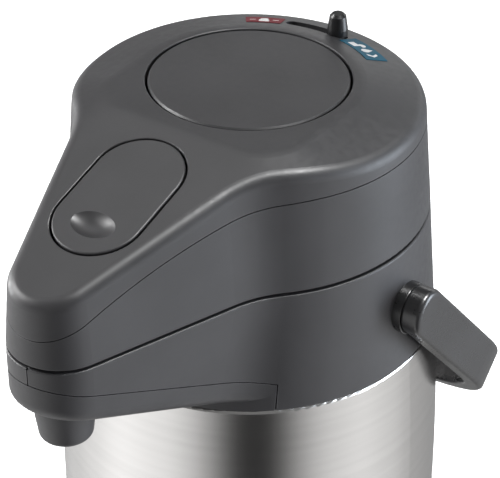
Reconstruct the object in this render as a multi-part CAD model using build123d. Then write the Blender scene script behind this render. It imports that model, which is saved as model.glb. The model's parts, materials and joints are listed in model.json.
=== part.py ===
from build123d import *
import os
from math import atan2, cos, degrees, hypot, radians, sin, sqrt, tan

os.makedirs("parts", exist_ok=True)

# Thermal coffee airpot, in millimetres. Z is up, the spout nose points along -Y, and the
# origin is the centre of the rubber mat that the airpot stands on.

# Driving sizes of the whole pot
BODY_R = 84.0
JACKET_R = 88.0
JACKET_TOP_R = 84.4
JACKET_EDGE_R = 1.6
FLARE_Z = 160.0
PUMP_Z = 366.0
SPLIT_Z = 308.3
SPLIT_GAP = 1.4
SPLIT_R = 79.6
COLLAR_Z = 252.8
SHELL_Z = 15.0
SHEET = 1.0
WALL = 2.6
SEAM = 0.5
SEAM_DEPTH = 1.0
DRAFT = 0.084
LID_FILLET = 6.0
EDGE_R = 0.8
RIM_R = 0.5

# Nose in plan: a round tip, straight flanks and a hollow fillet into the round body
TIP_Y = -130.7
TIP_R = 22.5
FLANK_DEG = 20.0
FLANK_FILLET = 50.0

# Top of the lid: a level flat round the pump, falling away at one slope on every side
TOP_SLOPE = 0.284
TOP_BEND_Y = -52.0
TOP_BEND_R = 20.0
CROWN_R = 47.4
CROWN_CORNER_R = 20.0
COVER_SEAM_Z = 350.0
COVER_SEAM_Y = -38.0
COVER_SEAM_R = 240.0

# Underside of the nose
UNDER_Y = -61.5
UNDER_SLOPE = 0.345
UNDER_SEAM_Y = -61.0
UNDER_SEAM_Z = 265.1
UNDER_SEAM_SLOPE = 0.373
UNDER_HALF_X = 56.0
UNDER_FILLET = 8.0

# Pump, button, latch and lock
PUMP_R = 43.0
WELL_R = 44.2
WELL_WALL = 2.0
PUMP_TRAVEL = 22.0
BUTTON_Y = -91.6
BUTTON_R = 19.4
BUTTON_HALF = 13.0
BUTTON_GAP = 0.9
BUTTON_PIN_Y = -66.0
BUTTON_PIN_Z = 352.0
DIMPLE_Y = -108.5
LATCH_Y = -104.0
LATCH_Z = 328.0
LOCK_R = 59.5
LOCK_OPEN_DEG = 83.0
LOCK_TURN_DEG = 20.0
LOCK_Z = 336.0

# Lid hinge
HINGE_Y = 84.4
HINGE_R = 4.2
HINGE_PIN_R = 1.6
RUN = 0.06

# Bail handle
PIVOT_Z = 279.7
BAIL_DEG = 47.2
BAIL_X = 95.2
BAIL_REACH = 146.0
BAIL_CORNER_R = 60.5
BAIL_BOW_R = 135.6
BAIL_WIDE = 21.4
BAIL_THICK = 9.2
BAIL_END = 3.6
BAIL_EDGE = 2.4
BAIL_INNER_EDGE = 1.2
CHANNEL_DEEP = 3.6
CHANNEL_RIM = 3.2
BAIL_REST_GAP = 0.8
BOSS_R = 11.6
BOSS_X = 85.2
PIVOT_PIN_R = 4.0

# Vacuum flask and the way out for the coffee
FLASK_R = 71.0
NECK_R = 40.0
LIP_Z = 288.0
SPIGOT_R = 80.2
PIPE_Y = -24.0
PIPE_Z = 296.0
PIPE_R = 4.5
PIPE_BORE = 3.2
SPOUT_Y = -132.0
CUP_Z = 262.0
CUP_R = 11.4
DECK_Z = 303.0
DECK_THICK = 2.4
PLATE_Z = 309.6
PLATE_THICK = 2.4

FAR = 400.0
CROWN_DEEP = 60.0


def save(shape, node):
    """Write one sub-part to its own STEP file."""
    export_step(shape, f"parts/{node}.step")


def rod(radius, z0, z1, x=0.0, y=0.0):
    """Upright cylinder from z0 to z1."""
    return Pos(x, y, z0) * Cylinder(radius, z1 - z0, align=(Align.CENTER, Align.CENTER, Align.MIN))


def tube(outer, inner, z0, z1, x=0.0, y=0.0):
    """Upright tube from z0 to z1."""
    return rod(outer, z0, z1, x, y) - rod(inner, z0 - 1, z1 + 1, x, y)


def bar(radius, x0, x1, y, z):
    """Cylinder lying along X from x0 to x1."""
    return Pos((x0 + x1) / 2, y, z) * Rot(0, 90, 0) * Cylinder(radius, abs(x1 - x0))


def block(x0, x1, y0, y1, z0, z1):
    """Box between two corners."""
    return Pos((x0 + x1) / 2, (y0 + y1) / 2, (z0 + z1) / 2) * Box(x1 - x0, y1 - y0, z1 - z0)


def turned(points):
    """Solid of revolution about Z from (radius, z) points."""
    outline = Polyline([(r, 0, z) for r, z in points], close=True)
    return revolve(make_face(outline), Axis.Z)


def side_prism(edges, half=FAR):
    """Solid with its outline drawn in the YZ plane, as wide as 2 x half."""
    return extrude(make_face(edges), amount=half, dir=(1, 0, 0), both=True)


def plan_face(round_r, tip_r, fillet_r, z):
    """Plan outline of the pot at height z: round body, hollow fillets, flanks and round tip."""
    flank = radians(FLANK_DEG)
    nx, ny = cos(flank), -sin(flank)
    along = tip_r + fillet_r
    px, py = along * nx, TIP_Y + along * ny
    dot = px * sin(flank) + py * cos(flank)
    reach = round_r + fillet_r
    step = -dot - sqrt(dot * dot - (px * px + py * py - reach * reach))
    cx, cy = px + step * sin(flank), py + step * cos(flank)
    body = (cx * round_r / reach, cy * round_r / reach)
    foot = (cx - fillet_r * nx, cy - fillet_r * ny)
    tip = (tip_r * nx, TIP_Y + tip_r * ny)
    mid_x, mid_y = (body[0] + foot[0]) / 2 - cx, (body[1] + foot[1]) / 2 - cy
    mid_len = hypot(mid_x, mid_y)
    mid = (cx + mid_x / mid_len * fillet_r, cy + mid_y / mid_len * fillet_r)

    def at(point, side):
        return (point[0] * side, point[1], z)

    edges = [ThreePointArc(at(body, 1), (round_r, 0, z), (0, round_r, z))]
    edges.append(ThreePointArc((0, round_r, z), (-round_r, 0, z), at(body, -1)))
    edges.append(ThreePointArc(at(body, -1), at(mid, -1), at(foot, -1)))
    edges.append(Line(at(foot, -1), at(tip, -1)))
    edges.append(ThreePointArc(at(tip, -1), (0, TIP_Y - tip_r, z), at(tip, 1)))
    edges.append(Line(at(tip, 1), at(foot, 1)))
    edges.append(ThreePointArc(at(foot, 1), at(mid, 1), at(body, 1)))
    return make_face(edges)


def lid_prism(inset):
    """Lid flanks as a drafted prism, before the top is cut."""
    z0 = SPLIT_Z + SPLIT_GAP / 2
    z1 = PUMP_Z + 10
    taken = [inset + DRAFT * (z - SPLIT_Z) for z in (z0, z1)]
    faces = [plan_face(SPLIT_R - t, TIP_R - t, FLANK_FILLET + t, z) for t, z in zip(taken, (z0, z1))]
    return loft(faces, ruled=True)


def crown(drop):
    """Everything below the top surface of the lid, lowered by drop."""
    corner_x = CROWN_R - CROWN_CORNER_R
    corner_y = TOP_BEND_Y + CROWN_CORNER_R
    round_x = CROWN_CORNER_R * sin(radians(45))
    outline = [ThreePointArc((CROWN_R, 0), (0, CROWN_R), (-CROWN_R, 0))]
    for side in (-1, 1):
        outline.append(Line((side * CROWN_R, 0), (side * CROWN_R, corner_y)))
        corner = (side * (corner_x + round_x), corner_y - round_x)
        outline.append(ThreePointArc((side * CROWN_R, corner_y), corner, (side * corner_x, TOP_BEND_Y)))
    outline.append(Line((-corner_x, TOP_BEND_Y), (corner_x, TOP_BEND_Y)))
    fall = degrees(atan2(1, TOP_SLOPE))
    form = extrude(make_face(outline), amount=-CROWN_DEEP, taper=-fall)
    form = fillet(form.faces().sort_by(Axis.Z)[-1].edges(), TOP_BEND_R)
    form += block(-FAR, FAR, -FAR, FAR, -CROWN_DEEP - 1, 1 - CROWN_DEEP)
    return Pos(0, 0, PUMP_Z - drop) * form


def below_cover_seam(lift):
    """Everything below the parting line between the top cover and the side shell."""
    z = COVER_SEAM_Z + lift
    span = 120.0
    drop = COVER_SEAM_R - sqrt(COVER_SEAM_R**2 - span**2)
    half_drop = COVER_SEAM_R - sqrt(COVER_SEAM_R**2 - (span / 2) ** 2)
    start = (0, COVER_SEAM_Y, z)
    mid = (0, COVER_SEAM_Y - span / 2, z - half_drop)
    end = (0, COVER_SEAM_Y - span, z - drop)
    edges = [Line((0, FAR, z), start), ThreePointArc(start, mid, end), Line(end, (0, end[1], 0))]
    edges += [Line((0, end[1], 0), (0, FAR, 0)), Line((0, FAR, 0), (0, FAR, z))]
    return side_prism(edges)


def lid_form(inset, rounding):
    """Closed outer form of the lid, inset by a wall and with its top edge rounded."""
    prism = lid_prism(inset)
    form = prism & crown(inset)
    if rounding > 0:
        walls = prism.faces().sort_by(Axis.Z)[1:-1]
        level = [e for e in form.edges() if e.center().Z > SPLIT_Z + 14 and abs_vertical(e) < 0.6]
        rim = [e for e in level if on_wall(e, walls)]
        form = fillet(rim, rounding)
    return form


def on_wall(edge, walls):
    """True for an edge that lies on one of the upright walls."""
    spot = edge.position_at(0.4)
    return min(wall.distance_to(spot) for wall in walls) < 0.01


def abs_vertical(edge):
    """How upright an edge is: 1 for a vertical one, 0 for a level one."""
    way = edge.position_at(1) - edge.position_at(0)
    return abs(way.Z) / max(way.length, 1e-6)


def under_nose(lift, depth=0.0):
    """Everything in front of the round body and below the sloping underside of the nose."""
    z = COLLAR_Z + lift
    near = (0, UNDER_Y, z)
    front = (0, UNDER_Y - 140, z + 140 * UNDER_SLOPE)
    points = [near, front, (0, front[1], depth), (0, UNDER_Y, depth)]
    return side_prism(Polyline(points, close=True))


def collar_drum(inset):
    """Round part of the collar, flaring out towards its foot."""
    top = SPLIT_R - inset
    foot = BODY_R - inset
    z1 = SPLIT_Z - SPLIT_GAP / 2
    points = [(0, COLLAR_Z), (foot, COLLAR_Z), (top, z1), (0, z1)]
    return turned(points)


def collar_form(inset, rounding):
    """Closed outer form of the collar with its nose."""
    z1 = SPLIT_Z - SPLIT_GAP / 2
    faces = []
    for round_r, z in ((BODY_R, COLLAR_Z), (SPLIT_R, z1)):
        faces.append(plan_face(round_r - inset, TIP_R - inset, FLANK_FILLET + inset, z))
    form = loft(faces, ruled=True)
    form -= under_nose(inset) - collar_drum(inset)
    if rounding > 0:
        rim = [e for e in form.edges() if rim_of_nose(e, inset)]
        form = fillet(rim, rounding)
    return form


def rim_of_nose(edge, inset):
    """True for the lower edges of the nose, from the round body forwards."""
    c = edge.center()
    height = COLLAR_Z + inset + (UNDER_Y - c.Y) * UNDER_SLOPE
    return c.Y < UNDER_Y - 12 and abs(c.Z - height) < 3.0 and abs(c.X) < 60 and hypot(c.X, c.Y) > BODY_R + 2


def seam_band(lift):
    """Everything below the parting line of the nose cover, between its two upright ends."""
    z = UNDER_SEAM_Z + lift
    front = -160.0
    points = [(0, y, z + UNDER_SEAM_SLOPE * (UNDER_SEAM_Y - y)) for y in (-UNDER_HALF_X, front)]
    points += [(0, front, 0), (0, -UNDER_HALF_X, 0)]
    return side_prism(Polyline(points, close=True), UNDER_HALF_X + lift)



# ---------------------------------------------------------------- lid shells
lid_outer = lid_form(0, LID_FILLET)
lid_inner = lid_form(WALL, LID_FILLET - WALL)
lid_skin = lid_outer - lid_inner
groove = (below_cover_seam(SEAM / 2) - below_cover_seam(-SEAM / 2)) - lid_form(SEAM_DEPTH, 0)
lid_skin -= groove
floor_z = SPLIT_Z + SPLIT_GAP / 2

slope_tilt = Rot(degrees(atan2(TOP_SLOPE, 1)), 0, 0)
button_z = PUMP_Z + (BUTTON_Y - TOP_BEND_Y) * TOP_SLOPE
button_seat = Pos(0, BUTTON_Y, button_z) * slope_tilt


def stadium(radius, half, depth, rise=0.0):
    """Long-oval prism hanging below the sloping top, its length along the slope."""
    outline = Rot(0, 0, 90) * SlotCenterToCenter(2 * half, 2 * radius)
    return button_seat * Pos(0, 0, -depth) * extrude(outline, depth + rise)


def ring_sector(outer, inner, z0, z1, from_deg, to_deg):
    """Part of a tube between two angles about the pump axis."""
    middle = (from_deg + to_deg) / 2
    half = radians((to_deg - from_deg) / 2)
    wedge = Polyline([(0, 0), (2 * outer * cos(half), -2 * outer * sin(half)),
                      (2 * outer * cos(half), 2 * outer * sin(half))], close=True)
    return tube(outer, inner, z0, z1) & Rot(0, 0, middle) * Pos(0, 0, z0) * extrude(make_face(wedge), z1 - z0)


BOSSES = [(66.0 * cos(radians(a)), 66.0 * sin(radians(a))) for a in (42, 138, 212, 328)] + [(0.0, -138.5)]
SCREW_R = 1.5
BOSS_SCREW_R = 3.6
WELL_Z = 331.5
KNOB_R = 4.6
SLOT_HALF = 3.6
SLOT_SPARE_DEG = 1.5
LUG_HALF_DEG = 4.0

well = tube(WELL_R + WELL_WALL, WELL_R, WELL_Z, PUMP_Z - WALL / 2)
well += tube(WELL_R + WELL_WALL + 3.0, WELL_R + 1, LOCK_Z + 2.5, LOCK_Z + 4.0)
for side in (0, 180):
    low = side - LUG_HALF_DEG - 2
    high = side + LUG_HALF_DEG + 2 + LOCK_TURN_DEG
    well -= ring_sector(WELL_R + 9, WELL_R - 1, LOCK_Z - 0.6, LOCK_Z + 2.5, low, high)

button_box = stadium(BUTTON_R + BUTTON_GAP + 1.8, BUTTON_HALF, 11.0)
button_box -= stadium(BUTTON_R + BUTTON_GAP, BUTTON_HALF, 12.0)
top_cover = lid_skin - below_cover_seam(0)
bosses = Compound([rod(BOSS_SCREW_R, PLATE_Z + PLATE_THICK, PUMP_Z, x, y) for x, y in BOSSES])
top_cover += (Compound(children=[well]) + button_box + bosses) & lid_outer
top_cover -= rod(WELL_R, SPLIT_Z, PUMP_Z + 1)
top_cover -= stadium(BUTTON_R + BUTTON_GAP, BUTTON_HALF, 12.0, 6.0)
slot_ends = (LOCK_OPEN_DEG - SLOT_SPARE_DEG, LOCK_OPEN_DEG + LOCK_TURN_DEG + SLOT_SPARE_DEG)
slot_z = PUMP_Z - 10
lock_slot = ring_sector(LOCK_R + SLOT_HALF, LOCK_R - SLOT_HALF, slot_z, PUMP_Z + 1, *slot_ends)
for angle in slot_ends:
    lock_slot += rod(SLOT_HALF, slot_z, PUMP_Z + 1, LOCK_R * cos(radians(angle)), LOCK_R * sin(radians(angle)))
top_cover -= lock_slot
for x, y in BOSSES:
    top_cover -= rod(SCREW_R, PLATE_Z, PLATE_Z + 16, x, y)


def on_button_rim(edge):
    """True for the upper edges of the opening that the release button sits in."""
    place = (button_seat.inverse() * Location(edge.position_at(0.5))).position
    off = hypot(place.X, max(0.0, abs(place.Y) - BUTTON_HALF))
    return abs(off - BUTTON_R - BUTTON_GAP) < 0.05 and abs(place.Z) < 0.6


def on_well_rim(edge):
    """True for the upper edge of the pump's well."""
    ends = (edge.position_at(0.0), edge.position_at(0.5))
    return all(abs(hypot(p.X, p.Y) - WELL_R) < 0.05 and abs(p.Z - PUMP_Z) < 0.05 for p in ends)


top_cover = fillet([e for e in top_cover.edges() if on_well_rim(e)], RIM_R)
top_cover = fillet([e for e in top_cover.edges() if on_button_rim(e)], RIM_R)

side_shell = lid_skin & below_cover_seam(0)
lower_lip = [f for f in side_shell.faces() if abs(f.center().Z - floor_z) < 0.01][0]
side_shell = fillet(lower_lip.outer_wire().edges(), EDGE_R)
knuckle_x = 7.4
knuckle = bar(HINGE_R, -knuckle_x, knuckle_x, HINGE_Y, SPLIT_Z)
knuckle += block(-knuckle_x, knuckle_x, SPLIT_R - 4, HINGE_Y, floor_z + 0.6, SPLIT_Z + 8)
knuckle -= lid_inner
knuckle -= bar(HINGE_PIN_R + RUN, -30, 30, HINGE_Y, SPLIT_Z)
side_shell += knuckle

# Pin lugs under the button's box, one each side
PIN_LUG_X = 15.5
BUTTON_PIN_R = 1.5
for side in (-1, 1):
    lug = block(side * PIN_LUG_X - 1.6, side * PIN_LUG_X + 1.6, BUTTON_PIN_Y - 4, BUTTON_PIN_Y + 4,
                BUTTON_PIN_Z - 4, button_z + 2)
    top_cover += lug - stadium(BUTTON_R + BUTTON_GAP, BUTTON_HALF, 12.0, 6.0)
top_cover -= bar(BUTTON_PIN_R, -PIN_LUG_X - 1.6, PIN_LUG_X + 1.6, BUTTON_PIN_Y, BUTTON_PIN_Z)

# Bottom plate of the lid, with its valve seat and the slot that the latch goes through
VALVE_HOLE_R = 9.0
SLOT_X = 8.0
bottom_plate = lid_inner & block(-100, 100, -160, 100, PLATE_Z, PLATE_Z + PLATE_THICK)
bottom_plate -= rod(VALVE_HOLE_R, PLATE_Z - 1, PLATE_Z + 4)
bottom_plate -= block(-SLOT_X, SLOT_X, LATCH_Y - 12, LATCH_Y + 9, PLATE_Z - 1, PLATE_Z + 4)
for x, y in BOSSES:
    bottom_plate -= rod(SCREW_R, PLATE_Z - 1, PLATE_Z + 4, x, y)
latch_ear_x = 9.5
for side in (-1, 1):
    ear = block(side * latch_ear_x - 1.2, side * latch_ear_x + 1.2, LATCH_Y - 4, LATCH_Y + 4,
                PLATE_Z + PLATE_THICK, LATCH_Z + 4)
    bottom_plate += ear - bar(1.5, -20, 20, LATCH_Y, LATCH_Z)
save(top_cover, "lid_top_cover")
save(side_shell, "lid_side_shell")
save(bottom_plate, "lid_bottom_plate")

screws = []
for x, y in BOSSES:
    screws.append(rod(SCREW_R, PLATE_Z, PLATE_Z + 15, x, y) + rod(3.0, PLATE_Z - 0.5, PLATE_Z, x, y))
save(Compound(screws), "lid_screws")

# ---------------------------------------------------------------- pump
DISC_Z = 350.0
SKIRT_Z = LOCK_Z - 2.0
SKIRT_R = 40.8
plate = turned([(0, PUMP_Z - 3), (SKIRT_R, PUMP_Z - 3), (SKIRT_R, SKIRT_Z), (PUMP_R, SKIRT_Z),
                (PUMP_R, PUMP_Z - 0.7), (PUMP_R - 0.7, PUMP_Z), (0, PUMP_Z)])
for side in (0, 180):
    plate -= ring_sector(PUMP_R + 2, SKIRT_R - 4, SKIRT_Z - 1, LOCK_Z + 2.6 + PUMP_TRAVEL,
                         side - LUG_HALF_DEG - 1.2, side + LUG_HALF_DEG + 1.2)
    plate -= ring_sector(PUMP_R + 2, SKIRT_R - 4, LOCK_Z - 0.6, LOCK_Z + 2.6,
                         side - LUG_HALF_DEG - 1.2, side + LUG_HALF_DEG + 1.2 + LOCK_TURN_DEG)
save(plate, "pump_button")
plunger = turned([(0, DISC_Z), (35, DISC_Z), (35, DISC_Z + 2.5), (12, DISC_Z + 2.5), (10, DISC_Z + 5),
                  (10, PUMP_Z - 3), (0, PUMP_Z - 3)])
save(plunger, "pump_plunger")

SEAT_Z = PLATE_Z + PLATE_THICK
seat = turned([(6, SEAT_Z), (38, SEAT_Z), (38, SEAT_Z + 1.5), (26, SEAT_Z + 2.5), (6, SEAT_Z + 2.5)])
save(seat, "bellows_seat")
FOLDS = 6
bellows_z0 = SEAT_Z + 2.5
pitch = (DISC_Z - bellows_z0) / FOLDS
wave_out = []
wave_in = []
for fold in range(FOLDS):
    z = bellows_z0 + fold * pitch
    wave_out += [(30.0, z), (35.5, z + pitch / 2)]
    wave_in += [(28.8, z), (34.3, z + pitch / 2)]
wave_out.append((30.0, DISC_Z))
wave_in.append((28.8, DISC_Z))
save(turned(wave_out + wave_in[::-1]), "bellows")
SPRING_R = 20.0
SPRING_WIRE_R = 0.9
spring_path = Pos(0, 0, bellows_z0 + 1) * Helix(5.0, DISC_Z - bellows_z0 - 2, SPRING_R)
spring_face = Plane(origin=spring_path @ 0, z_dir=spring_path % 0) * Circle(SPRING_WIRE_R)
save(sweep(spring_face, path=spring_path), "return_spring")
save(tube(7.5, 1.2, bellows_z0, bellows_z0 + 1.0), "air_valve")
CHIMNEY_Z = 306.0
save(tube(VALVE_HOLE_R, 5.0, CHIMNEY_Z + 0.4, SEAT_Z) + tube(13.0, 5.0, CHIMNEY_Z + 0.4, PLATE_Z), "lid_seal")

# ---------------------------------------------------------------- lock ring and knob
LOCK_THICK = 2.0
ring = tube(60.5, WELL_R + WELL_WALL + 0.4, LOCK_Z, LOCK_Z + LOCK_THICK)
ring += ring_sector(LOCK_R + 4, LOCK_R - 4, LOCK_Z, LOCK_Z + LOCK_THICK, LOCK_OPEN_DEG - 6, LOCK_OPEN_DEG + 6)
for side in (0, 180):
    ring += ring_sector(WELL_R + 6, SKIRT_R + 0.8, LOCK_Z, LOCK_Z + LOCK_THICK,
                        side - LUG_HALF_DEG, side + LUG_HALF_DEG)
knob_x = LOCK_R * cos(radians(LOCK_OPEN_DEG))
knob_y = LOCK_R * sin(radians(LOCK_OPEN_DEG))
KNOB_Z = PUMP_Z
KNOB_GAP = 0.4
ring += rod(SLOT_HALF - 0.5, LOCK_Z, KNOB_Z + 5, knob_x, knob_y)
save(ring, "lock_ring")
knob_foot = KNOB_Z - 6
knob = turned([(SLOT_HALF - 0.5, knob_foot), (KNOB_R, knob_foot), (KNOB_R, KNOB_Z), (KNOB_R - 0.9, KNOB_Z + 6.2),
               (KNOB_R - 2.0, KNOB_Z + 7.4), (0, KNOB_Z + 7.4), (0, KNOB_Z + 5), (SLOT_HALF - 0.5, KNOB_Z + 5)])
save(Pos(knob_x, knob_y, 0) * knob - crown(-KNOB_GAP), "lock_knob")
save(tube(WELL_R + WELL_WALL + 3.5, WELL_R + WELL_WALL, LOCK_Z - 2.4, LOCK_Z - 0.5), "lock_retainer")

LABEL_THICK = 0.25
LABEL_R = 59.3
LABEL_WIDE = 10.0


def label(from_deg, to_deg):
    """Thin printed tab that follows the slot's curve on the top surface."""
    tab = ring_sector(LABEL_R + LABEL_WIDE / 2, LABEL_R - LABEL_WIDE / 2, PUMP_Z - 12, PUMP_Z + 2, from_deg, to_deg)
    return tab & (crown(-LABEL_THICK) - crown(0))


save(label(109.5, 125.5), "lock_label")
save(label(55.0, 77.0), "open_label")

# ---------------------------------------------------------------- release button and latch
BUTTON_PROUD = 0.3
button = stadium(BUTTON_R, BUTTON_HALF, 6.5, BUTTON_PROUD) - stadium(BUTTON_R - 2.2, BUTTON_HALF, 6.6, -2.6)
top_edges = [e for e in button.edges() if (button_seat.inverse() * e).center().Z > 0.2]
button = fillet(top_edges, 0.8)
dimple_along = (BUTTON_Y - DIMPLE_Y) / cos(atan2(TOP_SLOPE, 1))
DIMPLE_HALF = 10.0
DIMPLE_DEEP = 2.6
DIMPLE_ROUND = 9.5
DIMPLE_WALL = 1.6
DISH_OVERLAP = 0.1
scoop_face = make_face([ThreePointArc((-DIMPLE_HALF, 0, -DIMPLE_ROUND + DIMPLE_DEEP), (0, 0, -DIMPLE_ROUND),
                                      (DIMPLE_HALF, 0, -DIMPLE_ROUND + DIMPLE_DEEP)),
                        Line((DIMPLE_HALF, 0, -DIMPLE_ROUND + DIMPLE_DEEP), (DIMPLE_HALF, 0, 0)),
                        Line((DIMPLE_HALF, 0, 0), (-DIMPLE_HALF, 0, 0)),
                        Line((-DIMPLE_HALF, 0, 0), (-DIMPLE_HALF, 0, -DIMPLE_ROUND + DIMPLE_DEEP))])
scoop = revolve(scoop_face, Axis.X)
button_dish = button_seat * Pos(0, -dimple_along, DIMPLE_ROUND - DIMPLE_DEEP + BUTTON_PROUD - DISH_OVERLAP)
dish_wall = (button_dish * Pos(0, 0, -DIMPLE_WALL) * scoop) & stadium(BUTTON_R - 3, BUTTON_HALF, 4.0, -1.0)
button = button - button_dish * scoop + (dish_wall - button_dish * scoop)
for side in (-1, 1):
    arm_x = side * 11.0
    arm = block(arm_x - 1.5, arm_x + 1.5, BUTTON_PIN_Y - 3.5, BUTTON_PIN_Y + 3.5, BUTTON_PIN_Z - 3.5, button_z + 2)
    arm &= stadium(BUTTON_R - 1, BUTTON_HALF, 14.0, -1.0)
    button += arm - bar(BUTTON_PIN_R + RUN, -30, 30, BUTTON_PIN_Y, BUTTON_PIN_Z)
save(button, "release_button")
save(bar(BUTTON_PIN_R, -PIN_LUG_X - 1.6, PIN_LUG_X + 1.6, BUTTON_PIN_Y, BUTTON_PIN_Z), "button_pin")

LEVER_HALF_X = 5.0
BARB_Z = 301.0
lever = block(-LEVER_HALF_X, LEVER_HALF_X, LATCH_Y - 1.5, LATCH_Y + 1.5, BARB_Z, LATCH_Z)
lever += block(-LEVER_HALF_X, LEVER_HALF_X, LATCH_Y - 4.0, LATCH_Y, BARB_Z, BARB_Z + 1.6)
lever += bar(4.0, -LEVER_HALF_X, LEVER_HALF_X, LATCH_Y, LATCH_Z)
lever += block(-LEVER_HALF_X, LEVER_HALF_X, LATCH_Y - 9.0, LATCH_Y, LATCH_Z - 1.5, LATCH_Z + 1.5)
lever += block(-LEVER_HALF_X, LEVER_HALF_X, LATCH_Y - 9.0, LATCH_Y - 6.5, LATCH_Z, LATCH_Z + 15.0)
lever -= bar(1.5 + RUN, -20, 20, LATCH_Y, LATCH_Z)
save(lever, "latch_lever")
save(bar(1.5, -latch_ear_x - 1.2, latch_ear_x + 1.2, LATCH_Y, LATCH_Z), "latch_pin")
coil = Pos(LEVER_HALF_X + 0.5, LATCH_Y, LATCH_Z) * Rot(0, 90, 0) * Helix(0.9, 2.4, 2.4)
coil_face = Plane(origin=coil @ 0, z_dir=coil % 0) * Circle(0.35)
save(sweep(coil_face, path=coil), "latch_spring")

# ---------------------------------------------------------------- collar and nose
collar_outer = collar_form(0, UNDER_FILLET)
collar_inner = collar_form(WALL, UNDER_FILLET - WALL)
cover_zone = seam_band(0)
collar_groove = (seam_band(SEAM / 2) - seam_band(-SEAM / 2)) - collar_form(SEAM_DEPTH, 0)
open_top = block(-100, 100, -170, 100, SPLIT_Z - SPLIT_GAP / 2 - 0.01, SPLIT_Z + 5)
collar_skin = collar_outer - collar_inner - open_top - collar_groove
collar_skin -= rod(BODY_R - WALL, COLLAR_Z - 1, COLLAR_Z + 1)
collar = collar_skin - cover_zone
front_line = block(-SEAM / 2, SEAM / 2, -170, TIP_Y, UNDER_SEAM_Z, SPLIT_Z) - collar_form(SEAM_DEPTH, 0)
collar -= front_line
upper_lip = collar.faces().sort_by(Axis.Z)[-1]
collar = fillet(upper_lip.outer_wire().edges(), EDGE_R)
nose_cover = collar_skin & cover_zone

for side in (-1, 1):
    boss_hole = bar(BOSS_R, side * 70, side * 95, 0, PIVOT_Z)
    collar -= boss_hole
    boss = bar(BOSS_R, side * 77, side * BOSS_X, 0, PIVOT_Z)
    rim = [e for e in boss.edges().filter_by(GeomType.CIRCLE) if abs(e.center().X) > BOSS_X - 1]
    boss = fillet(rim, RIM_R)
    boss += bar(PIVOT_PIN_R, side * BOSS_X, side * (BAIL_X - 2.4), 0, PIVOT_Z)
    save(boss, "pivot_boss_right" if side > 0 else "pivot_boss_left")

for side in (-1, 1):
    outer_knuckle = bar(HINGE_R, side * 8.0, side * 20.0, HINGE_Y, SPLIT_Z)
    outer_knuckle += block(min(side * 8, side * 20), max(side * 8, side * 20), SPLIT_R - 4, HINGE_Y,
                           SPLIT_Z - 8, SPLIT_Z - SPLIT_GAP)
    collar += outer_knuckle - collar_inner - bar(HINGE_PIN_R, -30, 30, HINGE_Y, SPLIT_Z)
save(bar(HINGE_PIN_R, -20.0, 20.0, HINGE_Y, SPLIT_Z), "lid_hinge_pin")

# Inner tray that closes the collar under the lid, with the mouth tube and the latch window
MOUTH_R = 46.0
tray = collar_inner & block(-100, 100, -160, 100, DECK_Z, DECK_Z + DECK_THICK)
tray -= rod(MOUTH_R, DECK_Z - 1, DECK_Z + 4)
tray += tube(MOUTH_R + 2.4, MOUTH_R, LIP_Z - 5, DECK_Z + DECK_THICK)
tray -= block(-SLOT_X, SLOT_X, LATCH_Y - 4.6, LATCH_Y + 9, DECK_Z - 1, DECK_Z + 4)
tray -= Pos(0, -MOUTH_R, PIPE_Z) * Rot(90, 0, 0) * Cylinder(PIPE_R + 0.8, 12)
save(tray, "collar_tray")
keeper_z = DECK_Z + DECK_THICK
save(block(-SLOT_X - 3, SLOT_X + 3, LATCH_Y - 12.0, LATCH_Y - 4.6, keeper_z, keeper_z + 0.8), "latch_keeper")

# ---------------------------------------------------------------- spout
CUP_TOP_R = 16.2
CUP_BORE_R = 8.2
CUP_EDGE_R = 3.0
cup_turn = CUP_EDGE_R * (1 - sin(radians(45)))
cup_line = [Line((CUP_BORE_R, 0, CUP_Z), (CUP_R - CUP_EDGE_R, 0, CUP_Z)),
            ThreePointArc((CUP_R - CUP_EDGE_R, 0, CUP_Z), (CUP_R - cup_turn, 0, CUP_Z + cup_turn),
                          (CUP_R, 0, CUP_Z + CUP_EDGE_R)),
            Polyline((CUP_R, 0, CUP_Z + CUP_EDGE_R), (CUP_TOP_R, 0, DECK_Z), (CUP_BORE_R, 0, DECK_Z),
                     (CUP_BORE_R, 0, CUP_Z))]
cup = Pos(0, SPOUT_Y, 0) * revolve(make_face(cup_line), Axis.Z)
cup &= under_nose(0)
save(cup, "spout_cup")
nose_cover -= rod(CUP_BORE_R - 1, CUP_Z, DECK_Z - 1, 0, SPOUT_Y)
save(collar, "collar")
save(nose_cover, "nose_cover")

route = FilletPolyline((0, PIPE_Y, LIP_Z - 4), (0, PIPE_Y, PIPE_Z), (0, SPOUT_Y, PIPE_Z), (0, SPOUT_Y, CUP_Z + 4),
                       radius=6.5)
pipe_face = Plane(origin=route @ 0, z_dir=route % 0) * (Circle(PIPE_R) - Circle(PIPE_BORE))
save(sweep(pipe_face, path=route), "spout_pipe")
save(Pos(0, SPOUT_Y, 0) * turned([(PIPE_R, CUP_Z + 2), (6.2, CUP_Z + 3), (6.8, CUP_Z + 14), (PIPE_R, CUP_Z + 14)]),
     "spout_nozzle")

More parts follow.
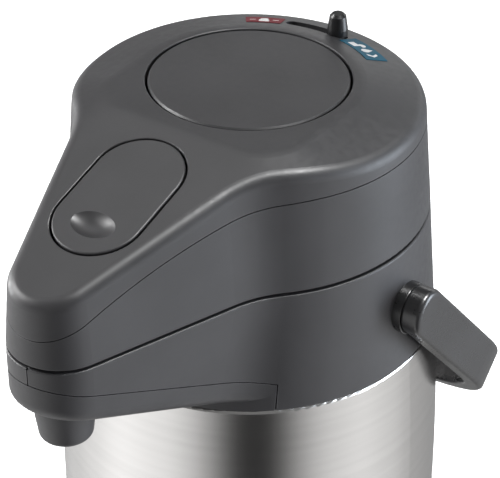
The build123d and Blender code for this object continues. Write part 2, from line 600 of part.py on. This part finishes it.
# ---------------------------------------------------------------- flask, mouth and dip tube
def jacket_line(inset):
    """Upright line of the jacket from its foot up to its rounded shoulder, moved in by inset."""
    top_z = COLLAR_Z - JACKET_EDGE_R
    rise = top_z - FLARE_Z
    drop = JACKET_R - JACKET_TOP_R
    curve = (rise**2 + drop**2) / (2 * drop)
    half_in = curve - sqrt(curve**2 - (rise / 2) ** 2)
    foot = (JACKET_R - inset, 0, SHELL_Z)
    start = (JACKET_R - inset, 0, FLARE_Z)
    mid = (JACKET_R - half_in - inset, 0, FLARE_Z + rise / 2)
    end = (JACKET_TOP_R - inset, 0, top_z)
    edge_r = JACKET_EDGE_R - inset
    centre_x = JACKET_TOP_R - JACKET_EDGE_R
    turn = sin(radians(45))
    shoulder_mid = (centre_x + edge_r * turn, 0, top_z + edge_r * turn)
    shoulder_end = (centre_x, 0, top_z + edge_r)
    lip = (SPIGOT_R, 0, top_z + edge_r)
    return [Line(foot, start), ThreePointArc(start, mid, end), ThreePointArc(end, shoulder_mid, shoulder_end),
            Line(shoulder_end, lip)]


jacket_outline = jacket_line(0) + jacket_line(SHEET)
jacket_outline.append(Line((JACKET_R, 0, SHELL_Z), (JACKET_R - SHEET, 0, SHELL_Z)))
jacket_outline.append(Line((SPIGOT_R, 0, COLLAR_Z), (SPIGOT_R, 0, COLLAR_Z - SHEET)))
save(revolve(make_face(jacket_outline), Axis.Z), "outer_shell")
shoulder = turned([(SPIGOT_R - 1, COLLAR_Z - 1), (SPIGOT_R, COLLAR_Z - 1), (SPIGOT_R, 259), (61, 272), (43, 277.4),
                   (NECK_R, 279.4), (NECK_R, LIP_Z), (NECK_R - 1, LIP_Z), (NECK_R - 1, 278.6), (42.5, 276.3),
                   (60.4, 271), (SPIGOT_R - 1, 258.2)])
save(shoulder, "shell_shoulder")
FLASK_FOOT_Z = 23.0
FLASK_TOP_Z = 236.0
DISH_Z = 26.0
save(tube(FLASK_R, FLASK_R - 1, FLASK_FOOT_Z, FLASK_TOP_Z), "flask_wall")
dish = turned([(0, DISH_Z), (FLASK_R - 2, DISH_Z), (FLASK_R - 2, FLASK_FOOT_Z), (FLASK_R - 1, FLASK_FOOT_Z),
               (FLASK_R - 1, DISH_Z + 1), (0, DISH_Z + 1)])
save(dish, "flask_bottom")
flask_cone = turned([(FLASK_R, FLASK_TOP_Z), (FLASK_R - 8, 254), (48, 266), (NECK_R - 1, 271), (NECK_R - 2, 270.4),
                     (47.4, 265.1), (FLASK_R - 8.8, 253.4), (FLASK_R - 1, FLASK_TOP_Z)])
save(flask_cone, "flask_shoulder")
save(tube(NECK_R - 1, NECK_R - 2, 271, LIP_Z), "flask_neck")
pan = turned([(0, 19), (JACKET_R - 2, 19), (JACKET_R - 2, SHELL_Z), (JACKET_R - 1, SHELL_Z), (JACKET_R - 1, 22),
              (JACKET_R - 2, 22), (JACKET_R - 2, 20), (0, 20)])

SCREW_RING = 60.0
BASE_SCREW_R = 1.8
spots = [(SCREW_RING * cos(radians(a)), SCREW_RING * sin(radians(a))) for a in (90, 210, 330)]
for x, y in spots:
    pan -= rod(BASE_SCREW_R, 18, 21, x, y)
save(pan, "shell_bottom")

neck_nut = tube(MOUTH_R, NECK_R, 279.6, LIP_Z - 0.5)
save(neck_nut, "neck_nut")
save(tube(41.0, NECK_R - 2, LIP_Z, LIP_Z + 1.6), "mouth_gasket")
HOLDER_Z = LIP_Z + 1.6
holder = turned([(VALVE_HOLE_R - 2, 282), (NECK_R - 2.6, 282), (NECK_R - 2.6, HOLDER_Z), (41.0, HOLDER_Z),
                 (41.0, HOLDER_Z + 2.4), (13.0, HOLDER_Z + 2.4), (11.0, HOLDER_Z + 5), (10.0, CHIMNEY_Z),
                 (VALVE_HOLE_R - 2, CHIMNEY_Z)])
holder -= rod(PIPE_R, 281, CHIMNEY_Z, 0, PIPE_Y)
holder -= Pos(0, PIPE_Y - 20, PIPE_Z) * Rot(90, 0, 0) * Cylinder(PIPE_R + 0.4, 40)
save(holder, "tube_holder")
save(tube(PIPE_R, PIPE_BORE, 36, LIP_Z - 4, 0, PIPE_Y), "dip_tube")
foot = tube(6.5, PIPE_R, 30, 46, 0, PIPE_Y) - block(-8, 8, PIPE_Y - 1.2, PIPE_Y + 1.2, 29, 34)
save(foot, "dip_tube_foot")

# ---------------------------------------------------------------- base
HUB_R = 10.0
BASE_R = JACKET_R + 0.6
TURN_R = JACKET_R - 3.0
base = turned([(HUB_R + RUN, 8), (BASE_R - 0.8, 8), (BASE_R, 8.8), (BASE_R, SHELL_Z - 0.6), (BASE_R - 0.6, SHELL_Z),
               (JACKET_R - 2, SHELL_Z), (JACKET_R - 2, 17.5), (JACKET_R - 4.5, 17.5), (JACKET_R - 4.5, 10.5),
               (HUB_R + RUN, 10.5)])
base_screws = []
for x, y in spots:
    base += rod(4.5, 9, 19, x, y)
    base -= rod(3.5, 7, 10, x, y) + rod(BASE_SCREW_R, 9, 20, x, y)
    base_screws.append(rod(3.5, 8.3, 10, x, y) + rod(BASE_SCREW_R, 10, 20, x, y))
save(base, "base_holder")
save(Compound(base_screws), "base_screws")
turn_table = turned([(0, 1.6), (66, 1.6), (66, 1.0), (TURN_R - 1.5, 1.0), (TURN_R, 2.5), (TURN_R, 7.0),
                     (TURN_R - 0.6, 7.6), (HUB_R, 7.6), (HUB_R, 10.9), (0, 10.9)]) - rod(2.0, 3, 12)
save(turn_table, "swivel_base")
save(tube(14.0, 2.0, 10.9, 12.2), "hub_washer")
save(rod(2.0, 3, 12.2) + rod(4.5, 12.2, 14.4), "hub_screw")
save(rod(65.6, 0, 1.6), "base_mat")

# ---------------------------------------------------------------- bail handle


def bail_edges(inset):
    """Half outline of the bail from its ear to the middle of its crossbar, as (x, reach) points."""
    corner = BAIL_CORNER_R - inset
    hub = BAIL_REACH - BAIL_BOW_R
    x = BAIL_X - BAIL_CORNER_R
    y = hub + sqrt((BAIL_BOW_R - BAIL_CORNER_R) ** 2 - x * x)
    turn = atan2(y - hub, x)
    start = (BAIL_X - inset, -BAIL_END)
    bend = (BAIL_X - inset, y)
    mid = (x + corner * cos(turn / 2), y + corner * sin(turn / 2))
    end = (x + corner * cos(turn), y + corner * sin(turn))
    return start, bend, mid, end, (0, hub + BAIL_BOW_R - inset)


def bail_band(inset, thick, wide):
    """U-shaped band, flat in the XY plane with its reach along +Y."""
    paths = (bail_edges(inset), bail_edges(inset + thick))
    edges = []
    for start, bend, mid, end, middle in paths:
        for side in (-1, 1):
            edges.append(Line((side * start[0], start[1]), (side * bend[0], bend[1])))
            edges.append(ThreePointArc((side * bend[0], bend[1]), (side * mid[0], mid[1]), (side * end[0], end[1])))
        edges.append(ThreePointArc((-end[0], end[1]), middle, end))
    for side in (-1, 1):
        edges.append(Line((side * paths[0][0][0], -BAIL_END), (side * paths[1][0][0], -BAIL_END)))
    return extrude(make_face(edges), amount=wide / 2, both=True)


def outside_bail(edge, inset):
    """True for an edge that runs along the outline with the given inset."""
    p = edge.position_at(0.5)
    hub = BAIL_REACH - BAIL_BOW_R
    corner_y = bail_edges(0)[1][1]
    on_arm = abs(abs(p.X) - BAIL_X + inset) < 0.1 and p.Y < corner_y + 0.1
    on_corner = abs(hypot(abs(p.X) - BAIL_X + BAIL_CORNER_R, p.Y - corner_y) - BAIL_CORNER_R + inset) < 0.1
    on_bar = abs(hypot(p.X, p.Y - hub) - BAIL_BOW_R + inset) < 0.1
    return on_arm or on_corner or on_bar


bail = bail_band(0, BAIL_THICK, BAIL_WIDE)
for side in (-1, 1):
    bail += bar(BAIL_WIDE / 2, side * (BAIL_X - BAIL_THICK), side * BAIL_X, -BAIL_END, 0)
level = [e for e in bail.edges() if abs(e.tangent_at(0.5).Z) < 0.99 or e.center().Y < 1]
bail = fillet([e for e in level if outside_bail(e, 0) and e.length > 1], BAIL_EDGE)
level = [e for e in bail.edges() if outside_bail(e, BAIL_THICK) and abs(e.tangent_at(0.5).Z) < 0.9]
bail = fillet(level, BAIL_INNER_EDGE)
channel = bail_band(BAIL_THICK - CHANNEL_DEEP, CHANNEL_DEEP + 3, BAIL_WIDE - 2 * CHANNEL_RIM)
bail -= channel & block(-BAIL_X, BAIL_X, BAIL_WIDE, 2 * BAIL_REACH, -BAIL_WIDE, BAIL_WIDE)
for side in (-1, 1):
    bail -= bar(PIVOT_PIN_R + RUN, side * (BAIL_X - BAIL_THICK - 2), side * (BAIL_X - 2.0), 0, 0)
bail = Pos(0, 0, PIVOT_Z) * Rot(-BAIL_DEG, 0, 0) * bail
bail -= rod(JACKET_R + BAIL_REST_GAP, SHELL_Z, COLLAR_Z - 30)
save(bail, "bail_handle")
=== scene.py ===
import json
import math

import bmesh
import bpy
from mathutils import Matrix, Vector
from mathutils.bvhtree import BVHTree


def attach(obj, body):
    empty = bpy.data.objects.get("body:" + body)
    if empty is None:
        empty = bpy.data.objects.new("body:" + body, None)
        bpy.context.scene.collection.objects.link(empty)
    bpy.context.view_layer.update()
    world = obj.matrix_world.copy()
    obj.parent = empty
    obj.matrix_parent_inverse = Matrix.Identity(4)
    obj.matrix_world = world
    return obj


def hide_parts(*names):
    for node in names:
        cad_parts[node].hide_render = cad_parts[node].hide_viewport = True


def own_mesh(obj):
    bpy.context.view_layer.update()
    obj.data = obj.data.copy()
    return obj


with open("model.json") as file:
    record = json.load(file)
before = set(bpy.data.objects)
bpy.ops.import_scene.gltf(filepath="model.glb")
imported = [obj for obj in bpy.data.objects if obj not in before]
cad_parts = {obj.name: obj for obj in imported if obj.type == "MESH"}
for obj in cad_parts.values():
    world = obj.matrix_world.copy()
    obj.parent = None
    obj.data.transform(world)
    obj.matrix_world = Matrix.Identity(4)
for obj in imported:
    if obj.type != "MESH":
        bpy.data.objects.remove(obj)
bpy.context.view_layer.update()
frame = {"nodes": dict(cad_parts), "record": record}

MM = 0.001
NODES = frame["nodes"]

# ------------------------------------------------------------------ camera
AZIMUTH = math.radians(34.2)
ELEVATION = math.radians(33.62)
LOOK_HEIGHT = 0.28375
DISTANCE = 0.8925
LENS_MM = 144.0
SENSOR_MM = 36.0
SHIFT_X = 0.002
CLIP_START, CLIP_END = 0.05, 20.0


def show(thing):
    """Put an object in the scene."""
    bpy.context.scene.collection.objects.link(thing)


def make_camera():
    """Long lens from the front right, above the lid."""
    data = bpy.data.cameras.new("camera")
    data.lens = LENS_MM
    data.sensor_width = SENSOR_MM
    data.shift_x = SHIFT_X
    data.clip_start = CLIP_START
    data.clip_end = CLIP_END
    camera = bpy.data.objects.new("camera", data)
    level = math.cos(ELEVATION)
    back = Vector((math.sin(AZIMUTH) * level, -math.cos(AZIMUTH) * level, math.sin(ELEVATION)))
    camera.location = Vector((0, 0, LOOK_HEIGHT)) + back * DISTANCE
    camera.rotation_euler = back.to_track_quat("Z", "Y").to_euler()
    show(camera)
    bpy.context.scene.camera = camera


# ------------------------------------------------------------------ studio
LIGHT_AIM = (0, 0, 0.3)
WHITE_LIGHT = (1, 1, 1)
COOL_LIGHT = (0.82, 0.90, 1.0)

# Brightness of the panels round the studio's lower half, by angle from the camera in degrees, right is plus
PANELS = (
    (-180, 0.45), (-130, 0.88), (-109, 1.12), (-82, 1.5), (-50, 1.25), (-36, 0.95), (-23, 0.5),
    (-14, 0.16), (-7, 0.02), (13, 0.02), (21, 0.18), (30, 0.5), (40, 0.8), (50, 1.0), (70, 1.18),
    (92, 0.95), (120, 0.52), (150, 0.4), (180, 0.3),
)
SKY = 0.22
WALL_START, WALL_END = -0.02, 0.16

FLOOR_HALF = 8.0
FLOOR_TONE = 0.93
FLOOR_ROUGH = 0.9
FLOOR_GLOW = 0.6

# Places of the colour sockets on a Mix node
MIX_FACTOR, MIX_A, MIX_B, MIX_RESULT = 0, 6, 7, 2


def grey(tone):
    return (tone, tone, tone, 1.0)


def area_light(name, place, size, power, colour=WHITE_LIGHT):
    """Soft rectangular light aimed at the lid."""
    data = bpy.data.lights.new(name, "AREA")
    data.shape = "RECTANGLE"
    data.size, data.size_y = size
    data.energy = power
    data.color = colour
    lamp = bpy.data.objects.new(name, data)
    lamp.location = place
    lamp.rotation_euler = (Vector(place) - Vector(LIGHT_AIM)).to_track_quat("Z", "Y").to_euler()
    show(lamp)
    return lamp


def make_surround():
    """Pale sky over a ring of bright and dark panels, which is what the steel mirrors."""
    world = bpy.data.worlds.new("surround")
    world.use_nodes = True
    tree = world.node_tree
    coords = tree.nodes.new("ShaderNodeTexCoord")
    turn = tree.nodes.new("ShaderNodeMapping")
    turn.inputs["Rotation"].default_value = (0, 0, -AZIMUTH)
    parts = tree.nodes.new("ShaderNodeSeparateXYZ")
    angle = tree.nodes.new("ShaderNodeMath")
    angle.operation = "ARCTAN2"
    flip = tree.nodes.new("ShaderNodeMath")
    flip.operation = "MULTIPLY"
    flip.inputs[1].default_value = -1.0
    spread = tree.nodes.new("ShaderNodeMapRange")
    spread.inputs["From Min"].default_value = -math.pi
    spread.inputs["From Max"].default_value = math.pi
    ring = tree.nodes.new("ShaderNodeValToRGB")
    ring.color_ramp.interpolation = "EASE"
    stops = ring.color_ramp.elements
    while len(stops) < len(PANELS):
        stops.new(0.5)
    # A ramp holds tones up to 1, so it takes half of each level and is then added to itself
    for stop, (degrees, level) in zip(stops, PANELS):
        stop.position = degrees / 360 + 0.5
        stop.color = grey(level / 2)
    double = tree.nodes.new("ShaderNodeMix")
    double.data_type = "RGBA"
    double.blend_type = "ADD"
    double.inputs[MIX_FACTOR].default_value = 1.0
    height = tree.nodes.new("ShaderNodeMapRange")
    height.interpolation_type = "SMOOTHSTEP"
    height.inputs["From Min"].default_value = WALL_START
    height.inputs["From Max"].default_value = WALL_END
    blend = tree.nodes.new("ShaderNodeMix")
    blend.data_type = "RGBA"
    blend.inputs[MIX_B].default_value = grey(SKY)
    background = tree.nodes["Background"]
    link = tree.links.new
    link(coords.outputs["Generated"], turn.inputs["Vector"])
    link(turn.outputs[0], parts.inputs[0])
    link(parts.outputs["Y"], flip.inputs[0])
    link(parts.outputs["X"], angle.inputs[0])
    link(flip.outputs[0], angle.inputs[1])
    link(angle.outputs[0], spread.inputs["Value"])
    link(spread.outputs[0], ring.inputs["Fac"])
    link(ring.outputs["Color"], double.inputs[MIX_A])
    link(ring.outputs["Color"], double.inputs[MIX_B])
    link(parts.outputs["Z"], height.inputs["Value"])
    link(height.outputs[0], blend.inputs[MIX_FACTOR])
    link(double.outputs[MIX_RESULT], blend.inputs[MIX_A])
    link(blend.outputs[MIX_RESULT], background.inputs["Color"])
    bpy.context.scene.world = world


def make_floor():
    """Plain pale floor that the steel and plastic don't mirror."""
    mesh = bpy.data.meshes.new("floor")
    low, high = -FLOOR_HALF, FLOOR_HALF
    corners = [(low, low, 0), (high, low, 0), (high, high, 0), (low, high, 0)]
    mesh.from_pydata(corners, [], [(0, 1, 2, 3)])
    floor = bpy.data.objects.new("floor", mesh)
    floor.visible_diffuse = False
    floor.visible_glossy = False
    show(floor)
    paper = bpy.data.materials.new("pale_floor")
    paper.use_nodes = True
    shader = paper.node_tree.nodes["Principled BSDF"]
    shader.inputs["Base Color"].default_value = grey(FLOOR_TONE)
    shader.inputs["Roughness"].default_value = FLOOR_ROUGH
    shader.inputs["Emission Color"].default_value = grey(1.0)
    shader.inputs["Emission Strength"].default_value = FLOOR_GLOW
    mesh.materials.append(paper)


def make_lights():
    """Soft boxes left, right and above. The streak only glints and the right side light gives no glint."""
    area_light("key_left", (-1.4, -0.65, 1.2), (0.6, 0.6), 34)
    area_light("low_left", (-1.7, -0.3, 0.3), (0.8, 0.6), 22)
    area_light("overhead", (-0.75, 0.45, 1.65), (0.7, 0.7), 3)
    streak = area_light("streak", (0.45, 0.25, 1.7), (0.4, 0.4), 45)
    streak.visible_diffuse = False
    side_right = area_light("side_right", (1.5, -0.15, 0.35), (0.8, 1.0), 16)
    side_right.visible_glossy = False
    area_light("fill_right", (1.3, 0.8, 0.4), (0.7, 1.0), 26, COOL_LIGHT)
    area_light("top_back", (-0.2, 1.6, 0.7), (1.8, 0.3), 4)


# ------------------------------------------------------------------ materials
# Cosines between the true and the rounded normal where the edge wear and the painted edge highlight start and
# are full
WEAR_AND_HIGHLIGHT_STARTS, WEAR_AND_HIGHLIGHT_FULL = 0.995, 0.93
WEAR_AND_HIGHLIGHT_RADIUS = 0.6 * MM
GRAIN_HEIGHT = 0.04 * MM
BRUSH_HEIGHT = 0.01 * MM
PLAIN_HEIGHT = 0.05 * MM
ROUGH_SPREAD = 0.035
BRUSH_ROUGH_SPREAD = 0.03
PLAIN_ROUGH_SPREAD = 0.04
SMEAR_ROUGH = 0.05
WORN_SMOOTHER = 0.08


def tint(colour, share):
    """Colour made darker or lighter, with its alpha."""
    return tuple(c * share for c in colour) + (1.0,)


class Nodes:
    """Small helper that adds and joins shader nodes."""

    def __init__(self, name):
        self.material = bpy.data.materials.new(name)
        self.material.use_nodes = True
        self.tree = self.material.node_tree
        self.shader = self.tree.nodes["Principled BSDF"]
        self.coords = self.tree.nodes.new("ShaderNodeTexCoord").outputs["Object"]

    def add(self, kind, **sockets):
        """New node of a kind, with its input sockets set or linked by name."""
        node = self.tree.nodes.new("ShaderNode" + kind)
        for key, value in sockets.items():
            self.join(node.inputs[key], value)
        return node

    def join(self, socket, value):
        """Link a socket into another, or set it to a constant."""
        if isinstance(value, bpy.types.NodeSocket):
            self.tree.links.new(value, socket)
        else:
            socket.default_value = value

    def surface(self, name, value):
        """Set or link one input of the shader."""
        self.join(self.shader.inputs[name], value)

    def noise(self, scale, detail=2.0, stretch=(1, 1, 1)):
        """Noise over the object's own coordinates, optionally stretched."""
        mapping = self.add("Mapping", Vector=self.coords, Scale=stretch)
        return self.add("TexNoise", Vector=mapping.outputs[0], Scale=scale, Detail=detail).outputs[0]

    def ramp(self, value, low, high, out_low, out_high):
        """Value mapped from one range to another, held at its ends."""
        node = self.add("MapRange", Value=value)
        node.inputs[1].default_value, node.inputs[2].default_value = low, high
        node.inputs[3].default_value, node.inputs[4].default_value = out_low, out_high
        return node.outputs[0]

    def mix(self, factor, a, b):
        """Blend of two colours."""
        node = self.tree.nodes.new("ShaderNodeMix")
        node.data_type = "RGBA"
        self.join(node.inputs[MIX_FACTOR], factor)
        self.join(node.inputs[MIX_A], a)
        self.join(node.inputs[MIX_B], b)
        return node.outputs[MIX_RESULT]

    def math(self, operation, a, b):
        """Sum, product and so on of two values."""
        node = self.tree.nodes.new("ShaderNodeMath")
        node.operation = operation
        self.join(node.inputs[0], a)
        self.join(node.inputs[1], b)
        return node.outputs[0]

    def edge_mask(self, radius, patches):
        """1 on outer and inner edges sharper than the radius, broken up by patches, 0 on flats."""
        soft = self.add("Bevel", Radius=radius).outputs[0]
        true = self.tree.nodes.new("ShaderNodeNewGeometry").outputs["Normal"]
        dot = self.tree.nodes.new("ShaderNodeVectorMath")
        dot.operation = "DOT_PRODUCT"
        self.join(dot.inputs[0], soft)
        self.join(dot.inputs[1], true)
        turned = self.ramp(dot.outputs["Value"], WEAR_AND_HIGHLIGHT_STARTS, WEAR_AND_HIGHLIGHT_FULL, 0, 1)
        return self.math("MULTIPLY", turned, patches)

    def bump(self, height, strength, distance):
        """Fine relief on the surface."""
        node = self.add("Bump", Height=height, Strength=strength, Distance=distance)
        self.surface("Normal", node.outputs[0])


def moulded_plastic(name, colour, rough, grain=0.12, gloss=0.4):
    """Moulded plastic: fine spark-eroded grain, faint clouding, edges rubbed smoother, and edges painted
    paler, part wear and part painted highlight.
    """
    n = Nodes(name)
    n.surface("Specular IOR Level", gloss)
    cloudy = n.ramp(n.noise(22.0, 3.0), 0.35, 0.65, 0, 1)
    clouds = n.mix(cloudy, tint(colour, 0.90), tint(colour, 1.12))
    worn_and_highlit_edges = n.edge_mask(WEAR_AND_HIGHLIGHT_RADIUS, n.ramp(n.noise(90.0, 3.0), 0.35, 0.6, 0.25, 1))
    # Paler colour on edges and seams: part wear, part painted highlight
    n.surface("Base Color", n.mix(worn_and_highlit_edges, clouds, tint(colour, 1.9)))
    speck = n.ramp(n.noise(300.0, 2.0), 0.3, 0.7, rough - ROUGH_SPREAD, rough + ROUGH_SPREAD)
    smears = n.ramp(n.noise(14.0, 2.0, (1.0, 1.0, 2.5)), 0.4, 0.7, 0, SMEAR_ROUGH)
    even = n.math("ADD", speck, smears)
    n.surface("Roughness", n.math("SUBTRACT", even, n.math("MULTIPLY", worn_and_highlit_edges, WORN_SMOOTHER)))
    n.bump(n.noise(2600.0, 2.0), grain, GRAIN_HEIGHT)
    return n.material


def brushed_steel(name, colour, rough):
    """Steel brushed round the jacket, so reflections draw out up and down."""
    n = Nodes(name)
    lines = n.noise(60.0, 3.0, (0.5, 0.5, 300.0))
    bands = n.noise(6.0, 2.0, (0.3, 0.3, 30.0))
    n.surface("Metallic", 1.0)
    n.surface("Anisotropic", 0.75)
    n.surface("Base Color", n.mix(n.ramp(bands, 0.3, 0.7, 0, 1), tint(colour, 0.97), tint(colour, 1.03)))
    low, high = rough - BRUSH_ROUGH_SPREAD, rough + BRUSH_ROUGH_SPREAD
    n.surface("Roughness", n.ramp(lines, 0.3, 0.7, low, high))
    tangent = n.tree.nodes.new("ShaderNodeTangent")
    tangent.direction_type = "RADIAL"
    tangent.axis = "Z"
    n.surface("Tangent", tangent.outputs[0])
    n.bump(lines, 0.03, BRUSH_HEIGHT)
    return n.material


def plain(name, colour, rough, metal=0.0):
    """Small hidden or inner piece: even finish with a little variation."""
    n = Nodes(name)
    spread = n.ramp(n.noise(60.0, 2.0), 0.3, 0.7, 0, 1)
    n.surface("Base Color", n.mix(spread, tint(colour, 0.9), tint(colour, 1.0)))
    low, high = rough - PLAIN_ROUGH_SPREAD, rough + PLAIN_ROUGH_SPREAD
    n.surface("Roughness", n.ramp(n.noise(150.0, 2.0), 0.3, 0.7, low, high))
    n.surface("Metallic", metal)
    n.bump(n.noise(900.0, 2.0), 0.1, PLAIN_HEIGHT)
    return n.material


def printed(name, colour):
    """Dull printed film."""
    material = plain(name, colour, 0.5)
    material.node_tree.nodes["Principled BSDF"].inputs["Specular IOR Level"].default_value = 0.15
    return material


CHARCOAL = (0.040, 0.0395, 0.042)
PRINT_WHITE = (0.78, 0.78, 0.77)
FINISHES = {
    "plastic_grey": lambda: moulded_plastic("lid_plastic", CHARCOAL, 0.42),
    "plastic_top": lambda: moulded_plastic("top_plastic", CHARCOAL, 0.42),
    "plastic_collar": lambda: moulded_plastic("collar_plastic", CHARCOAL, 0.42),
    "plastic_handle": lambda: moulded_plastic("handle_plastic", (0.024, 0.024, 0.0255), 0.28, 0.04, 0.6),
    "plastic_black": lambda: moulded_plastic("black_plastic", (0.008, 0.008, 0.009), 0.3, 0.06, 0.5),
    "plastic_inner": lambda: plain("inner_plastic", (0.05, 0.05, 0.052), 0.5),
    "plastic_white": lambda: plain("tube_plastic", (0.7, 0.7, 0.68), 0.4),
    "steel_brushed": lambda: brushed_steel("jacket_steel", (0.62, 0.61, 0.60), 0.2),
    "steel_inner": lambda: plain("flask_steel", (0.6, 0.6, 0.6), 0.3, 1.0),
    "steel_screw": lambda: plain("screw_steel", (0.55, 0.55, 0.55), 0.3, 1.0),
    "steel_spring": lambda: plain("spring_steel", (0.5, 0.5, 0.5), 0.35, 1.0),
    "silicone": lambda: plain("silicone", (0.55, 0.53, 0.5), 0.55),
    "rubber_black": lambda: plain("mat_rubber", (0.02, 0.02, 0.02), 0.8),
    "label_red": lambda: printed("red_print", (0.16, 0.004, 0.012)),
    "label_blue": lambda: printed("blue_print", (0.0, 0.09, 0.15)),
}


def finish_cad_nodes():
    """Give every CAD node the finish of its slot."""
    made = {}
    for part in frame["record"]["subparts"]:
        slot = part["material_slot"]
        if slot not in made:
            made[slot] = FINISHES[slot]()
        node = NODES[part["node"]]
        for place in node.material_slots:
            place.material = made[slot]
        if not node.material_slots:
            node.data.materials.append(made[slot])


# ------------------------------------------------------------------ printed marks on the two tabs
PRINT_RISE = 0.03 * MM
CAST_FROM = 5 * MM
WELD = 0.001 * MM
MARK = 6.0 * MM
ARC_STEPS = 12
DROP_STEPS = 14
LOCK_DOWN = -0.2 * MM
OPEN_LOCK_X, DROP_X, CHEVRON_X = -5.5 * MM, 2.0 * MM, 7.3 * MM
DASH_X = 5.2 * MM
DASH_LONG, DASH_WIDE = 2.6 * MM, 0.8 * MM


def arc(x, y, radius, start, end, steps):
    """Points along an arc, angles in degrees."""
    turns = [math.radians(start + (end - start) * i / steps) for i in range(steps + 1)]
    return [(x + radius * math.cos(t), y + radius * math.sin(t)) for t in turns]


def dash(x):
    """Short bar in line with the tab."""
    left, right = x - DASH_LONG / 2, x + DASH_LONG / 2
    low, high = -DASH_WIDE / 2, DASH_WIDE / 2
    return [[(left, low), (right, low), (right, high), (left, high)]]


def padlock(x, y, size, opened):
    """Padlock: a body and a bowed shackle, moved aside when opened."""
    half, foot, top = size * 0.40, y - size * 0.5, y + size * 0.06
    body = [(x - half, foot), (x + half, foot), (x + half, top), (x - half, top)]
    middle = x + (size * 0.40 if opened else 0.0)
    bow_y = y + size * 0.20
    wide, slim = size * 0.30, size * 0.17
    outer = [(middle + wide, top)] + arc(middle, bow_y, wide, 0, 180, ARC_STEPS) + [(middle - wide, top)]
    inner = [(middle - slim, top)] + arc(middle, bow_y, slim, 180, 0, ARC_STEPS) + [(middle + slim, top)]
    return [body, outer + inner]


def drop(x, y, size):
    """Drop of coffee with its point up."""
    return [arc(x, y - size * 0.12, size * 0.32, 160, 380, DROP_STEPS) + [(x, y + size * 0.52)]]


def chevron(x, y, size):
    """Arrow head pointing along the tab."""
    half, back = size * 0.4, size * 0.28
    upper = [(x - back, y + half), (x, y + half), (x + back, y)]
    lower = [(x, y - half), (x - back, y - half), (x, y)]
    return [upper + lower]


def print_marks(name, node, marks):
    """White print laid on a tab. Marks are given along and across the tab from its middle, in metres."""
    tab = NODES[node]
    tree = BVHTree.FromObject(tab, bpy.context.evaluated_depsgraph_get())
    spots = [v.co.to_2d() for v in tab.data.vertices]
    radii = [spot.length for spot in spots]
    angles = [math.atan2(spot.y, spot.x) for spot in spots]
    radius = (min(radii) + max(radii)) / 2
    middle = (min(angles) + max(angles)) / 2
    above = max(v.co.z for v in tab.data.vertices) + CAST_FROM
    form = bmesh.new()
    for outline in marks:
        corners = []
        for along, across in outline:
            turn = middle - along / radius
            reach = radius + across
            spot = Vector((reach * math.cos(turn), reach * math.sin(turn), above))
            height = tree.ray_cast(spot, Vector((0, 0, -1)))[0].z
            corners.append(form.verts.new((spot.x, spot.y, height + PRINT_RISE)))
        form.faces.new(corners)
    bmesh.ops.triangulate(form, faces=form.faces[:])
    bmesh.ops.remove_doubles(form, verts=form.verts[:], dist=WELD)
    bmesh.ops.recalc_face_normals(form, faces=form.faces[:])
    mesh = bpy.data.meshes.new(name)
    form.to_mesh(mesh)
    form.free()
    piece = bpy.data.objects.new(name, mesh)
    show(piece)
    mesh.materials.append(printed(name, PRINT_WHITE))
    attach(piece, "lid")


def make_prints():
    """A closed padlock between dashes on the red tab; an open padlock, a drop and an arrow on the blue one."""
    closed = padlock(0, LOCK_DOWN, MARK, False) + dash(-DASH_X) + dash(DASH_X)
    print_marks("locked_print", "lock_label", closed)
    opened = padlock(OPEN_LOCK_X, LOCK_DOWN, MARK, True) + drop(DROP_X, 0, MARK) + chevron(CHEVRON_X, 0, MARK)
    print_marks("open_print", "open_label", opened)


def squash_springs():
    """The bellows and its spring are copied into meshes of their own on the lid, and their CAD nodes are
    hidden.
    """
    for node, slot in (("bellows", "silicone"), ("return_spring", "steel_spring")):
        mesh = NODES[node].data.copy()
        finish = NODES[node].material_slots[0].material
        mesh.materials.clear()
        mesh.materials.append(finish)
        piece = bpy.data.objects.new(node + "_soft", mesh)
        show(piece)
        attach(piece, "lid")
        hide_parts(node)
        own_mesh(piece)


bpy.context.scene.view_settings.view_transform = "Standard"
make_camera()
make_surround()
make_floor()
make_lights()
finish_cad_nodes()
make_prints()
squash_springs()
